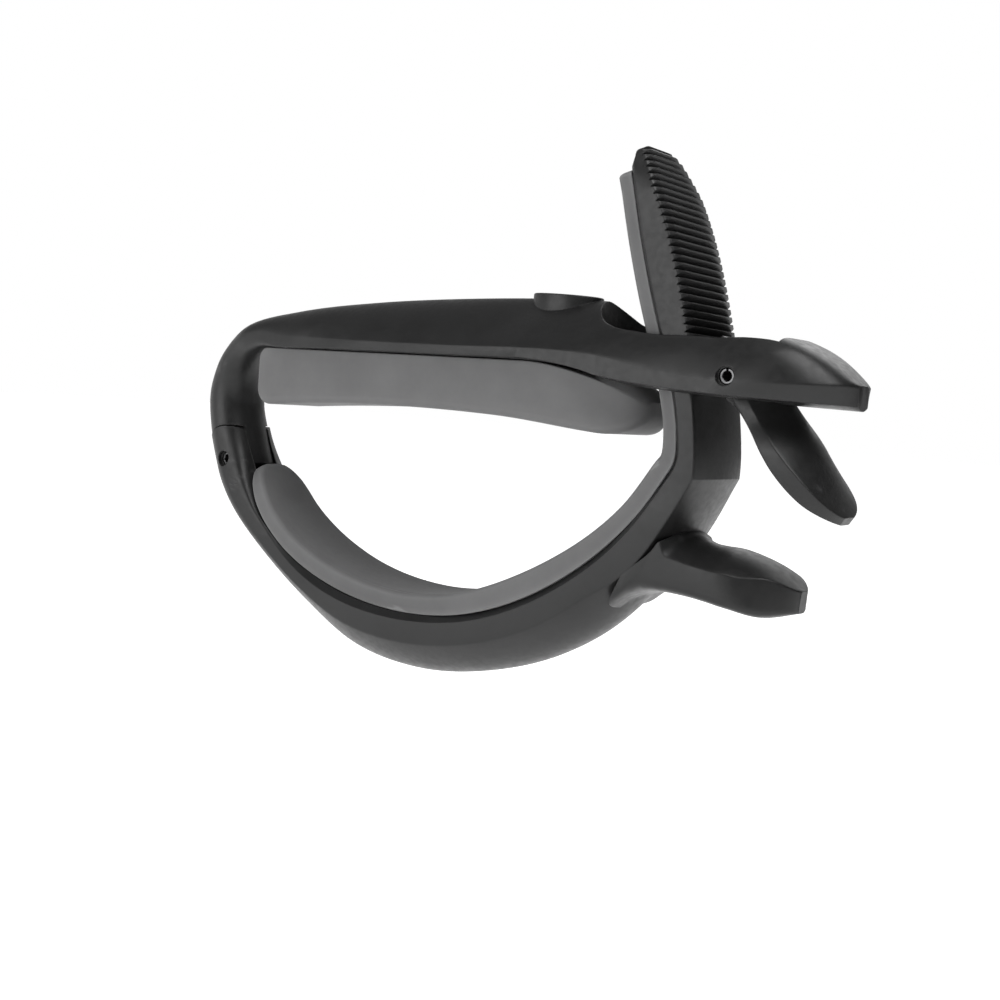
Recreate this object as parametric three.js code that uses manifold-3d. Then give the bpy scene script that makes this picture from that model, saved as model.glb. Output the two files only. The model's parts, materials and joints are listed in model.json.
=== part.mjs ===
// A ratchet guitar capo: a rubber-faced bar that presses on the strings, a padded jaw that goes
// round the back of the neck, a toothed arm that runs up through the bar, and a release lever.
// Millimetres, +Z up. X runs along the string pad from the hinge end to the tail, Y is the hinge
// axis, and the origin is the middle of the string pad's contact face. The jaw is drawn closed.
import * as THREE from "three";
import { mergeVertices } from "three/addons/utils/BufferGeometryUtils.js";
import Module from "manifold-3d";

const wasm = await Module();
wasm.setup();

// Driving dimensions
const HINGE = new THREE.Vector2(-34.2, -8.75); // hinge pin axis
const PIVOT = new THREE.Vector2(39.4, 5.5); // lever pin axis
const PIN_R = 0.8; // slotted spring pins, 1/16 inch
const PIN_WALL = 0.3;
const PIN_SLIT = 0.35;
const PIN_CLEAR = 0.06; // running clearance round a pin
const BORE_R = 1.0; // wider mouth of each pin hole
const GAP = 0.3; // between pieces that touch

const BAR_HALF = 7.5; // half the bar's depth in Y
const TAIL_START = 40.5; // where the tail begins to round off in plan
const TAIL_END = 50.8;
const SLOT_HALF = 5.7; // slot for the toothed arm
const LEVER_SLOT_HALF = 4.6; // and behind it, for the lever
const SLOT_FRONT = 21;
const SLOT_WIDE_END = 37;
const SLOT_BACK = 44.4;

const PAD_HALF_LENGTH = 28.2;
const PAD_HALF = 6.4;
const PAD_ARCH_R = 305; // fingerboard radius, 12 inches
const PAD_TOP = 5.9;
const PAD_FLAT = 4; // flat middle of the contact face, for the mount

const TONGUE_HALF = 1.85;
const CHEEK_R = 4.3;
const KNUCKLE_GAP = 0.25;

const ARM_HALF = 5.35; // half the toothed arm's depth
const ARM_IN_R = 67.2; // radii are taken from the hinge pin
const ARM_OUT_R = 70.5;
const TOOTH_R = 71.4;
const TOOTH_DEPTH = 0.6;
const TOOTH_HALF = 4.4;
const TOOTH_FIRST = 12.6; // degrees above the X axis
const TOOTH_STEP = 0.673;
const TOOTH_COUNT = 30;
const ARM_TIP = 32.9;

const LEVER_HALF = 5.6;
const LEVER_HUB_R = 3.1;
const LEVER_HUB_HALF = 2.4;
const PAWL_TIP_R = 71.65; // the nose stands just clear of the tooth tips
const SPRING_WIRE = 0.5;
const SPRING_COIL_R = 1.75;

const BLACK = { color: 0x2b2b2c, roughness: 0.45, metalness: 0 };
const GREY = { color: 0x6b6b6b, roughness: 0.75, metalness: 0 };
const STEEL = { color: 0x55565a, roughness: 0.35, metalness: 0.9 };

const RING = 20; // points round a lofted section
const deg = THREE.MathUtils.degToRad;

// Solids

function solid(geometry) {
  const bare = geometry.index ? geometry.toNonIndexed() : geometry.clone();
  bare.deleteAttribute("normal");
  bare.deleteAttribute("uv");
  const merged = mergeVertices(bare, 1e-4);
  const mesh = new wasm.Mesh({
    numProp: 3,
    vertProperties: merged.attributes.position.array,
    triVerts: new Uint32Array(merged.index.array),
  });
  return new wasm.Manifold(mesh);
}

function geometryOf(manifold) {
  const mesh = manifold.getMesh();
  const geometry = new THREE.BufferGeometry();
  geometry.setAttribute("position", new THREE.BufferAttribute(mesh.vertProperties, 3));
  geometry.setIndex(new THREE.BufferAttribute(mesh.triVerts, 1));
  return geometry;
}

// A side outline in X and Z, extruded from y = -half to y = half.
function slab(points, half) {
  const shape = new THREE.Shape(points);
  const geometry = new THREE.ExtrudeGeometry(shape, { depth: 2 * half, bevelEnabled: false });
  geometry.rotateX(Math.PI / 2);
  geometry.translate(0, half, 0);
  return solid(geometry);
}

function cylinderY(centre, radius, half, y = 0, sides = 32) {
  const geometry = new THREE.CylinderGeometry(radius, radius, 2 * half, sides);
  geometry.translate(centre.x, y, centre.y);
  return solid(geometry);
}

function box(x0, x1, y0, y1, z0, z1) {
  const geometry = new THREE.BoxGeometry(x1 - x0, y1 - y0, z1 - z0);
  geometry.translate((x0 + x1) / 2, (y0 + y1) / 2, (z0 + z1) / 2);
  return solid(geometry);
}

// A closed skin through rings of points, capped flat at both ends.
function skin(rings) {
  const count = rings[0].length;
  const points = rings.flat();
  const index = [];
  for (let i = 0; i + 1 < rings.length; i++) {
    for (let j = 0; j < count; j++) {
      const a = i * count + j;
      const b = i * count + ((j + 1) % count);
      index.push(a, b, a + count, b, b + count, a + count);
    }
  }
  for (const [ring, flip] of [[0, true], [rings.length - 1, false]]) {
    const middle = new THREE.Vector3();
    rings[ring].forEach((p) => middle.addScaledVector(p, 1 / count));
    const centre = points.push(middle) - 1;
    for (let j = 0; j < count; j++) {
      const a = ring * count + j;
      const b = ring * count + ((j + 1) % count);
      index.push(...(flip ? [centre, b, a] : [centre, a, b]));
    }
  }
  const geometry = new THREE.BufferGeometry().setFromPoints(points);
  geometry.setIndex(index);
  const made = solid(geometry);
  return made.volume() > 0 ? made : solid(geometry.setIndex(index.reverse()));
}

// One section of a ribbon: a rounded belly below, an upright side band and a crown above.
// low and high are the section's ends in X and Z, band gives where the side band lies between
// them, square is how boxy the belly is (2 is round), and half is the half depth in Y.
function section(low, high, half, band, square, crown = 2) {
  const ring = [];
  for (let i = 0; i < RING; i++) {
    const angle = (2 * Math.PI * (i + 0.5)) / RING;
    const c = Math.cos(angle);
    const s = Math.sin(angle);
    const power = 2 / (c > 0 ? square : crown);
    const y = half * Math.sign(s) * Math.abs(s) ** power;
    const reach = Math.abs(c) ** power;
    const u = c > 0 ? band[0] * (1 - reach) : band[1] + (1 - band[1]) * reach;
    const x = low.x + (high.x - low.x) * u;
    const z = low.y + (high.y - low.y) * u;
    ring.push(new THREE.Vector3(x, y, z));
  }
  return ring;
}

// A smooth function through [position, value] pairs.
function smooth(pairs) {
  return (at) => {
    const last = pairs.length - 1;
    if (at <= pairs[0][0]) return pairs[0][1];
    if (at >= pairs[last][0]) return pairs[last][1];
    const i = pairs.findIndex((pair) => pair[0] > at) - 1;
    const t = (at - pairs[i][0]) / (pairs[i + 1][0] - pairs[i][0]);
    return THREE.MathUtils.lerp(pairs[i][1], pairs[i + 1][1], t * t * (3 - 2 * t));
  };
}

function curve(points) {
  const knots = points.map(([x, z]) => new THREE.Vector3(x, z, 0));
  const spline = new THREE.CatmullRomCurve3(knots, false, "centripetal");
  return (t) => {
    const p = spline.getPoint(t);
    return new THREE.Vector2(p.x, p.y);
  };
}

function polar(radius, degrees) {
  const a = deg(degrees);
  return new THREE.Vector2(HINGE.x + radius * Math.cos(a), HINGE.y + radius * Math.sin(a));
}

function rounded(x, start, end) {
  const share = Math.max(0, (x - start) / (end - start));
  return Math.sqrt(Math.max(0, 1 - share * share));
}

// The bar with its leg, tongue, slot and tail.
function upperArm() {
  const under = curve([
    [-30.9, -9.4], [-32.6, -5], [-33.5, -1.1], [-32.9, 2.6], [-28.6, 5.6], [-20, 6.2],
    [-9, 6.3], [4, 6.3], [15, 6.2], [22, 5.2], [27, 3.7], [33, 3.3], [42, 3.1], [TAIL_END, 2.9],
  ]);
  const over = curve([
    [-38.1, -8.2], [-39.5, -4.4], [-40.0, 0.4], [-38.1, 4.6], [-32.8, 9], [-24, 11.1],
    [-11, 12.5], [4, 13.2], [16, 13.3], [23, 13.2], [28, 12.8], [34, 12.2], [43, 10.2], [TAIL_END, 5.3],
  ]);
  const half = smooth([[-41, 3.8], [-36, 4.2], [-30, 5.2], [-18, 6.4], [-4, 7.1], [14, BAR_HALF]]);
  const bandLow = smooth([[-36, 0.5], [-26, 0.25], [10, 0.15], [30, 0.2], [TAIL_END, 0.16]]);
  const bandHigh = smooth([[-36, 0.5], [-24, 0.3], [10, 0.36], [25, 0.46], [34, 0.45], [44, 0.5], [TAIL_END, 1]]);
  const square = smooth([[-36, 2], [-24, 4], [51, 5]]);
  const rings = [];
  const stations = 44;
  for (let i = 0; i <= stations; i++) {
    const t = i / stations;
    const low = under(t);
    const high = over(t);
    const x = (low.x + high.x) / 2;
    const plan = low.y < 1 && x < 0 ? smooth([[-10, 4.1], [-1, 3.75], [4, 4.1]])(low.y) : half(x);
    const nose = Math.max(rounded(x, TAIL_START, TAIL_END + 0.15), 0.17);
    rings.push(section(low, high, plan * nose, [bandLow(x), bandHigh(x)], square(x)));
  }
  let arm = skin(rings);
  arm = arm.subtract(forkRoom());
  arm = arm.add(cylinderY(HINGE, CHEEK_R - 0.6, TONGUE_HALF, 0, 48));
  arm = arm.subtract(cylinderY(HINGE, PIN_R + PIN_CLEAR, 10));
  arm = arm.subtract(barSlot());
  arm = arm.subtract(cylinderY(PIVOT, PIN_R + PIN_CLEAR, 10));
  for (const side of [-1, 1]) {
    arm = arm.subtract(cylinderY(PIVOT, BORE_R, 0.6, side * BAR_HALF));
  }
  return arm.add(pickLedge());
}

// The space that the jaw's two cheeks swing through, on each side of the tongue.
function forkRoom() {
  const reach = CHEEK_R + KNUCKLE_GAP;
  const side = 10;
  let room = cylinderY(HINGE, reach, side, 0, 64);
  const corner = [
    new THREE.Vector2(HINGE.x, HINGE.y - side),
    new THREE.Vector2(HINGE.x + side, HINGE.y - side),
    new THREE.Vector2(HINGE.x + side, HINGE.y + reach),
    new THREE.Vector2(HINGE.x, HINGE.y + reach),
  ];
  room = room.add(slab(corner, side));
  return room.subtract(box(-60, 0, -TONGUE_HALF, TONGUE_HALF, -30, 5));
}

// The way through the bar: wide for the toothed arm, narrower behind it for the lever.
function barSlot() {
  const shape = new THREE.Shape();
  const front = SLOT_FRONT + SLOT_HALF * 1.1;
  shape.moveTo(front, -SLOT_HALF);
  shape.lineTo(SLOT_WIDE_END, -SLOT_HALF);
  shape.lineTo(SLOT_WIDE_END, -LEVER_SLOT_HALF);
  shape.lineTo(SLOT_BACK, -LEVER_SLOT_HALF);
  shape.lineTo(SLOT_BACK, LEVER_SLOT_HALF);
  shape.lineTo(SLOT_WIDE_END, LEVER_SLOT_HALF);
  shape.lineTo(SLOT_WIDE_END, SLOT_HALF);
  shape.lineTo(front, SLOT_HALF);
  shape.absellipse(front, 0, SLOT_HALF * 1.1, SLOT_HALF, Math.PI / 2, 1.5 * Math.PI);
  return solid(new THREE.ExtrudeGeometry(shape, { depth: 20, bevelEnabled: false, curveSegments: 12 }));
}

// The low raised ledge in front of the slot, which holds a pick.
function pickLedge() {
  const geometry = new THREE.CylinderGeometry(1, 1, 1, 40);
  geometry.rotateX(Math.PI / 2);
  geometry.scale(4.3, 3, 2.4);
  geometry.rotateY(deg(2));
  geometry.translate(15.6, 0, 12.45);
  return solid(geometry);
}

// The rubber under the bar. Its contact face is arched to the fingerboard and flat in the middle.
function stringPad() {
  const left = -PAD_HALF_LENGTH;
  const right = PAD_HALF_LENGTH;
  const corner = 2.2;
  const rings = [];
  const stations = 30;
  for (let i = 0; i <= stations; i++) {
    const x = left + ((right - left) * (1 - Math.cos((Math.PI * i) / stations))) / 2;
    const away = Math.max(0, Math.abs(x) - PAD_FLAT);
    const arch = (away * away) / (2 * PAD_ARCH_R);
    const tail = rounded(x, 16, right + 0.05);
    const nose = rounded(-x, -left - corner, -left + 0.05);
    const top = x > 14 ? PAD_TOP - 3 * ((x - 14) / (right - 14)) ** 1.6 : PAD_TOP;
    const lift = 1.2 * (1 - Math.max(nose, 0.15)) + 1.1 * (1 - rounded(x, 24, right + 0.05));
    const plan = Math.max(THREE.MathUtils.lerp(5.2, PAD_HALF, Math.min(1, (x - left) / 26)), 1);
    const width = plan * Math.max(Math.min(0.75 + 0.25 * nose, tail), 0.2);
    const low = new THREE.Vector2(x, -arch + lift);
    const high = new THREE.Vector2(x, top - 0.6 * lift);
    rings.push(section(low, high, width, [0.3, 0.78], 8, 7));
  }
  return skin(rings);
}

// The seat of the neck pad: the jaw's inner curve, then the inside of the arm.
const JAW_SEAT = [
  [-31, -8.9], [-29.1, -12.2], [-26.2, -15.6], [-21.6, -19.1], [-15.2, -22], [-8, -23.7],
  [0, -24.1], [8, -23], [16, -20], [23.3, -15.4], [29, -10], [33, -4.9], [33.3, 1.6],
];

// The jaw's curved back, from the hinge cheeks to the kink under the bar, then the toothed arm.
function lowerJaw() {
  const inner = curve([[-33.6, -0.8], [-32.6, -5], ...JAW_SEAT]);
  const outer = curve([
    [-40.2, -0.8], [-39.5, -4.6], [-38.1, -8.4], [-36.4, -11.5], [-32.9, -15.6], [-26.7, -20.7],
    [-19.2, -26], [-10.8, -30.2], [-1, -31.4], [9, -29.8], [18, -26.5], [25.5, -21.4],
    [32.2, -12.8], [36.2, -5.6], [35.9, 1.6],
  ]);
  const half = smooth([[0.1, 4.1], [0.3, 4.8], [0.52, 6.2], [0.75, 6.1], [0.9, 5.6], [1, ARM_HALF]]);
  const band = smooth([[0.2, 0.5], [0.5, 0.45], [0.78, 0.5], [0.87, 0.8], [0.94, 0.88]]);
  const belly = smooth([[0.15, 0.5], [0.27, 0.3], [0.4, 0.1]]);
  const square = smooth([[0.12, 2], [0.35, 7]]);
  const crown = smooth([[0.12, 2], [0.75, 2.1], [0.87, 5]]);
  const rings = [];
  const stations = 36;
  for (let i = 0; i <= stations; i++) {
    const t = i / stations;
    const bands = [belly(t), Math.max(belly(t), band(t))];
    rings.push(section(inner(t), outer(t), half(t), bands, square(t), crown(t)));
  }
  const whole = skin(rings);
  const cheeks = whole.intersect(cylinderY(HINGE, CHEEK_R, 10, 0, 48));
  let jaw = whole.subtract(box(-60, -20, -10, 10, HINGE.y, 10)).add(cheeks);
  jaw = jaw.add(toothedArm());
  jaw = jaw.add(fingerPaddle());
  jaw = jaw.subtract(tongueRoom());
  jaw = jaw.subtract(cylinderY(HINGE, PIN_R + PIN_CLEAR, 10));
  for (const side of [-1, 1]) {
    jaw = jaw.subtract(cylinderY(HINGE, BORE_R - 0.1, 0.5, side * 4.1));
  }
  return jaw;
}

// The fork between the cheeks, open towards the bar and deep enough for the tongue to turn in.
function tongueRoom() {
  const room = cylinderY(HINGE, CHEEK_R + KNUCKLE_GAP, TONGUE_HALF + KNUCKLE_GAP, 0, 64);
  const y = TONGUE_HALF + KNUCKLE_GAP;
  return room.add(box(-45, -26, -y, y, HINGE.y, 0));
}

// The inside of the arm is an arc about the hinge pin that leans outward towards the tip.
function armInside(angle) {
  const lean = Math.max(0, angle - 19) / (ARM_TIP - 19);
  return ARM_IN_R + 2.6 * lean ** 2;
}

// The arm is an arc about the hinge pin, with ratchet teeth across its back.
function toothedArm() {
  const low = 6;
  const plain = [];
  for (let a = low; a <= ARM_TIP - 2; a += 1.5) plain.push(polar(ARM_OUT_R - 0.25, a));
  plain.push(polar(ARM_OUT_R - 0.25, ARM_TIP - 1));
  for (let a = ARM_TIP - 1; a >= low; a -= 1.5) plain.push(polar(armInside(a), a));
  const toothed = [];
  for (let i = 0; i < TOOTH_COUNT; i++) {
    const a = TOOTH_FIRST + i * TOOTH_STEP;
    toothed.push(polar(TOOTH_R - TOOTH_DEPTH, a));
    toothed.push(polar(TOOTH_R, a + 0.7 * TOOTH_STEP));
  }
  toothed.push(polar(TOOTH_R - TOOTH_DEPTH, TOOTH_FIRST + TOOTH_COUNT * TOOTH_STEP));
  toothed.push(polar(ARM_OUT_R, ARM_TIP + 0.1));
  toothed.push(polar(ARM_OUT_R - 1, ARM_TIP - 0.2));
  for (let a = ARM_TIP - 1.4; a >= TOOTH_FIRST - 1; a -= 3) toothed.push(polar(armInside(a) + 0.9, a));
  return slab(plain, ARM_HALF).add(slab(toothed, TOOTH_HALF));
}

// The finger rest that stands out from the jaw's back.
function fingerPaddle() {
  const under = curve([[24.5, -21.8], [28.2, -18.9], [33, -17.3], [38.5, -17.5], [42.8, -18.4], [46.2, -17.6]]);
  const over = curve([[25, -17], [29, -13.4], [34.5, -11.9], [39.4, -12.2], [43.3, -13.7], [46.3, -15.9]]);
  const half = smooth([[22, 6], [30, 5.7], [38, 5.6]]);
  const rings = [];
  const stations = 22;
  for (let i = 0; i <= stations; i++) {
    const t = Math.sin((Math.PI / 2) * (i / stations));
    const low = under(t);
    const high = over(t);
    const x = (low.x + high.x) / 2;
    const width = half(x) * Math.max(rounded(x, 37.5, 46.4), 0.25);
    rings.push(section(low, high, width, [0.2, smooth([[30, 0.6], [46.8, 0.95]])(x)], 3.5));
  }
  return skin(rings);
}

// The rubber lining of the jaw, which runs up the inside of the toothed arm.
function neckPad() {
  const seat = curve([
    ...JAW_SEAT.slice(0, 12),
    ...[6, 10, 15, 20, 25, 29, 31.6].map((a) => polar(armInside(a) - (a < 8 ? 0.15 : 0), a).toArray()),
  ]);
  const thickness = smooth([[0, 2.2], [0.15, 2.2], [0.33, 2.2], [0.45, 2.7], [0.62, 2.1], [0.72, 1.8]]);
  const depth = smooth([[0, 3.9], [0.2, 5], [0.45, 5.9], [0.6, 5.5], [0.7, ARM_HALF - 0.25]]);
  const start = 0.022;
  const steps = 44;
  const rings = [];
  for (let i = 0; i <= steps; i++) {
    const share = (1 - Math.cos((Math.PI * i) / steps)) / 2;
    const t = start + (1 - start) * (0.35 * share + (0.65 * i) / steps);
    const end = Math.min(1, Math.min((t - start) / 0.06, (1 - t) / 0.03));
    const along = seat(Math.min(1, t + 0.005)).sub(seat(Math.max(0, t - 0.005))).normalize();
    const normal = new THREE.Vector2(-along.y, along.x);
    const low = seat(t).addScaledVector(normal, GAP);
    const dome = Math.sqrt(1 - (1 - end) ** 2);
    const high = low.clone().addScaledVector(normal, (thickness(t) - GAP) * (0.45 + 0.55 * dome));
    rings.push(section(low, high, depth(t) * (0.35 + 0.65 * dome), [0.12, 0.5], 6, 3.5));
  }
  return skin(rings);
}

// The trigger: a hub on the pivot pin, a nose that locks the teeth and a leaf-shaped finger plate.
function releaseLever() {
  const under = curve([[37, 5.6], [38.9, 2.8], [41.6, -0.4], [44.1, -3.7], [47, -6.5], [49.9, -8.3]]);
  const over = curve([[41.6, 5.4], [44, 2.6], [46.1, 0.1], [47.8, -2.7], [49.3, -5.5], [50.4, -7.5]]);
  const rings = [];
  const stations = 26;
  for (let i = 0; i <= stations; i++) {
    const t = Math.sin((Math.PI / 2) * (i / stations));
    const low = under(t);
    const high = over(t);
    const plan = smooth([[0, 4.1], [0.25, 4.4], [0.5, LEVER_HALF]])(t);
    const width = plan * Math.max(rounded(t, 0.55, 1.01), 0.2);
    rings.push(section(low, high, width, [0.12, smooth([[0, 0.5], [0.3, 0.4], [1, 0.9]])(t)], 4, 2.2));
  }
  let lever = skin(rings).intersect(box(30, 60, -8, 8, -20, 4.9));
  lever = lever.add(cylinderY(PIVOT, LEVER_HUB_R, LEVER_HUB_HALF, 0, 40));
  lever = lever.add(slab(pawlNose(), LEVER_HUB_HALF));
  lever = lever.subtract(springRoom());
  return lever.subtract(cylinderY(PIVOT, PIN_R + PIN_CLEAR, 10));
}

// The pocket beside the hub for the spring's coils and for the leg that presses on the lever.
function springRoom() {
  const coils = cylinderY(PIVOT, SPRING_COIL_R + 0.6, 2, LEVER_HUB_HALF + 2.1);
  const low = PIVOT.y - SPRING_COIL_R - 0.5;
  return coils.add(box(PIVOT.x, PIVOT.x + 3.8, LEVER_HUB_HALF + 0.1, 6, low, PIVOT.y));
}

function pawlNose() {
  const points = [new THREE.Vector2(PIVOT.x + 1, PIVOT.y + 2.6), new THREE.Vector2(PIVOT.x - 1, PIVOT.y - 1)];
  const first = 13.1;
  for (let i = 0; i < 2; i++) {
    points.push(polar(PAWL_TIP_R + 0.7, first + i * TOOTH_STEP));
    points.push(polar(PAWL_TIP_R, first + (i + 0.7) * TOOTH_STEP));
  }
  points.push(polar(PAWL_TIP_R + 1.2, first + 2.3 * TOOTH_STEP));
  return points.reverse();
}

// The torsion spring round the pivot pin, beside the hub, with one leg on the bar and one on the lever.
function leverSpring() {
  const turns = 2.05;
  const coil = SPRING_COIL_R;
  const start = LEVER_HUB_HALF + 0.35 + SPRING_WIRE / 2;
  const points = [new THREE.Vector3(PIVOT.x + 3.2, start, PIVOT.y - coil)];
  const steps = 40;
  for (let i = 0; i <= steps; i++) {
    const a = -Math.PI / 2 + (turns * 2 * Math.PI * i) / steps;
    const y = start + (turns * (SPRING_WIRE + 0.05) * i) / steps;
    points.push(new THREE.Vector3(PIVOT.x + coil * Math.cos(a), y, PIVOT.y + coil * Math.sin(a)));
  }
  const path = new THREE.CatmullRomCurve3(points);
  const wire = new THREE.Shape().absarc(0, 0, SPRING_WIRE / 2, 0, 2 * Math.PI);
  return solid(new THREE.ExtrudeGeometry(wire, { steps: 56, curveSegments: 6, extrudePath: path }));
}

// A rolled steel pin with an open slit along it.
function springPin(centre, half, slitAngle) {
  const shape = new THREE.Shape();
  const open = Math.asin(PIN_SLIT / 2 / PIN_R);
  shape.absarc(0, 0, PIN_R, slitAngle + open, slitAngle - open + 2 * Math.PI, false);
  shape.absarc(0, 0, PIN_R - PIN_WALL, slitAngle - open + 2 * Math.PI, slitAngle + open, true);
  const geometry = new THREE.ExtrudeGeometry(shape, { depth: 2 * half, bevelEnabled: false, curveSegments: 14 });
  geometry.rotateX(Math.PI / 2);
  geometry.translate(centre.x, half, centre.y);
  return solid(geometry);
}

const group = new THREE.Group();

function add(name, manifold, finish) {
  const mesh = new THREE.Mesh(geometryOf(manifold), new THREE.MeshStandardMaterial(finish));
  mesh.name = name;
  group.add(mesh);
}

add("upper_arm", upperArm(), BLACK);
add("string_pad", stringPad(), GREY);
add("lower_jaw", lowerJaw(), BLACK);
add("neck_pad", neckPad(), GREY);
add("release_lever", releaseLever(), BLACK);
add("lever_spring", leverSpring(), STEEL);
add("pivot_pin", springPin(PIVOT, BAR_HALF - 0.7, Math.PI / 2), STEEL);
add("hinge_pin", springPin(HINGE, 3.5, 0), STEEL);

export default group;
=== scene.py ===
import json
import math

import bmesh
import bpy
import numpy as np
from mathutils import Matrix, Vector


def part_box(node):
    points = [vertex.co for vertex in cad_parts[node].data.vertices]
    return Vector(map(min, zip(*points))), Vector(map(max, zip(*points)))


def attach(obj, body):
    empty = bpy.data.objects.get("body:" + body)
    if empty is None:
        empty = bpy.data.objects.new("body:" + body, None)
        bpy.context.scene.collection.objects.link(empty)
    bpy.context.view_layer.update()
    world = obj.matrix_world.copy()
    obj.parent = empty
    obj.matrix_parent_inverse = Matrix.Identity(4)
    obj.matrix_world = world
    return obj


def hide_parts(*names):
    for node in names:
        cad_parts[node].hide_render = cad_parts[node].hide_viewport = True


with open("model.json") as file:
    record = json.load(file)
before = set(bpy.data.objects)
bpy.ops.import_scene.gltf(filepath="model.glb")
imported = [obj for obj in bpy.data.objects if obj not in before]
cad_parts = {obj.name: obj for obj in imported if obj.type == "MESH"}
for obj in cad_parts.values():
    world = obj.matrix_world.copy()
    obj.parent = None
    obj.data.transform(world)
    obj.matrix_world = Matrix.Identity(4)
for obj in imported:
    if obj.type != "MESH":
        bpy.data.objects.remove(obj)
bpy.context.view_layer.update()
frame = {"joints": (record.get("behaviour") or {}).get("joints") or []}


# The view. A 50 mm lens stands level with the bar, off the tail end and to the front, and leans
# a little to one side so that the bar runs slightly downhill.
TURN = math.radians(36.2)
LEAN = math.radians(4.95)
DISTANCE = 0.161
AIM = Vector((0.0077, 0, -0.006))

right = Vector((math.cos(TURN) * math.cos(LEAN), math.sin(TURN), math.cos(TURN) * math.sin(LEAN)))
up = Vector((-math.sin(LEAN), 0, math.cos(LEAN)))
back = right.cross(up)

lens = bpy.data.cameras.new("lens")
lens.lens = 50
lens.sensor_width = 36
lens.shift_y = -0.035
lens.clip_start = 0.005
camera = bpy.data.objects.new("camera", lens)
camera.matrix_world = Matrix((right, up, back)).transposed().to_4x4()
camera.location = AIM + DISTANCE * back
bpy.context.scene.collection.objects.link(camera)
bpy.context.scene.camera = camera


# The studio. A white paper floor just under the jaw when it is wide open, glowing with painted
# light that is dimmer near the capo and brighter far off, so that it reads evenly white and lights
# the capo from below; a room that is pale low on the left, dim on the right and overhead, and plain
# white to the eye; and three broad soft lamps: low in front, high on the right, and behind.
FLOOR = -0.082
FLOOR_HALF = 3.0
GLOW_NEAR, GLOW_FAR = 0.12, 0.8
GLOW_DIM, GLOW_BRIGHT = 0.62, 0.95
ROOM_LOW, ROOM_TOP = 0.8, 0.3
ROOM_BETWEEN = [(0.6, 0.75), (0.7, 0.3), (0.85, 0.16)]
ROOM_LEFT, ROOM_RIGHT = -0.35, 0.4
RIGHT_LEVEL = 0.06

floor_mesh = bpy.data.meshes.new("floor")
corners = [(-FLOOR_HALF, -FLOOR_HALF), (FLOOR_HALF, -FLOOR_HALF),
           (FLOOR_HALF, FLOOR_HALF), (-FLOOR_HALF, FLOOR_HALF)]
floor_mesh.from_pydata([(x, y, FLOOR) for x, y in corners], [], [(0, 1, 2, 3)])
floor = bpy.data.objects.new("floor", floor_mesh)
bpy.context.scene.collection.objects.link(floor)
paper = bpy.data.materials.new("glowing_white_paper")
paper.use_nodes = True
sheet = paper.node_tree
surface = sheet.nodes["Principled BSDF"]
surface.inputs["Base Color"].default_value = (0.92, 0.92, 0.92, 1)
surface.inputs["Roughness"].default_value = 0.9
surface.inputs["Specular IOR Level"].default_value = 0.1
surface.inputs["Emission Color"].default_value = (1, 1, 1, 1)
# The floor's glow is painted light: its emission rises from dim near the capo to bright far off.
where = sheet.nodes.new("ShaderNodeTexCoord")
from_capo = sheet.nodes.new("ShaderNodeVectorMath")
from_capo.operation = "LENGTH"
glow = sheet.nodes.new("ShaderNodeMapRange")
glow.interpolation_type = "SMOOTHSTEP"
glow.inputs["From Min"].default_value = GLOW_NEAR
glow.inputs["From Max"].default_value = GLOW_FAR
glow.inputs["To Min"].default_value = GLOW_DIM
glow.inputs["To Max"].default_value = GLOW_BRIGHT
sheet.links.new(where.outputs["Object"], from_capo.inputs[0])
sheet.links.new(from_capo.outputs["Value"], glow.inputs["Value"])
sheet.links.new(glow.outputs["Result"], surface.inputs["Emission Strength"])
floor_mesh.materials.append(paper)

world = bpy.data.worlds.new("surround")
bpy.context.scene.world = world
world.use_nodes = True
tree = world.node_tree
direction = tree.nodes.new("ShaderNodeTexCoord")
split = tree.nodes.new("ShaderNodeSeparateXYZ")
height = tree.nodes.new("ShaderNodeMapRange")
shade = tree.nodes.new("ShaderNodeValToRGB")
height.inputs["From Min"].default_value = -1
shade.color_ramp.elements[0].position = 0.5
shade.color_ramp.elements[0].color = (ROOM_LOW, ROOM_LOW, ROOM_LOW, 1)
shade.color_ramp.elements[1].position = 1
shade.color_ramp.elements[1].color = (ROOM_TOP, ROOM_TOP, ROOM_TOP, 1)
for at, level in ROOM_BETWEEN:
    stop = shade.color_ramp.elements.new(at)
    stop.color = (level, level, level, 1)
tree.links.new(direction.outputs["Generated"], split.inputs[0])
tree.links.new(split.outputs["Z"], height.inputs["Value"])
tree.links.new(height.outputs["Result"], shade.inputs["Fac"])
across = tree.nodes.new("ShaderNodeMapRange")
across.interpolation_type = "SMOOTHSTEP"
across.inputs["From Min"].default_value = ROOM_LEFT
across.inputs["From Max"].default_value = ROOM_RIGHT
across.inputs["To Min"].default_value = 1.0
across.inputs["To Max"].default_value = RIGHT_LEVEL
both = tree.nodes.new("ShaderNodeVectorMath")
both.operation = "SCALE"
tree.links.new(split.outputs["X"], across.inputs["Value"])
tree.links.new(shade.outputs["Color"], both.inputs[0])
tree.links.new(across.outputs["Result"], both.inputs["Scale"])
seen = tree.nodes.new("ShaderNodeLightPath")
white = tree.nodes.new("ShaderNodeMix")
white.data_type = "RGBA"
white.inputs["B"].default_value = (1, 1, 1, 1)
tree.links.new(seen.outputs["Is Camera Ray"], white.inputs["Factor"])
tree.links.new(both.outputs["Vector"], white.inputs["A"])
background = tree.nodes["Background"]
background.inputs["Strength"].default_value = 1.0
tree.links.new(white.outputs["Result"], background.inputs["Color"])


def lamp(name, spot, size, power):
    """A square soft lamp at spot, facing the middle of the capo."""
    light = bpy.data.lights.new(name, "AREA")
    light.size = size
    light.energy = power
    held = bpy.data.objects.new(name, light)
    held.location = spot
    held.rotation_euler = (AIM - Vector(spot)).to_track_quat("-Z", "Y").to_euler()
    bpy.context.scene.collection.objects.link(held)


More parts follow.
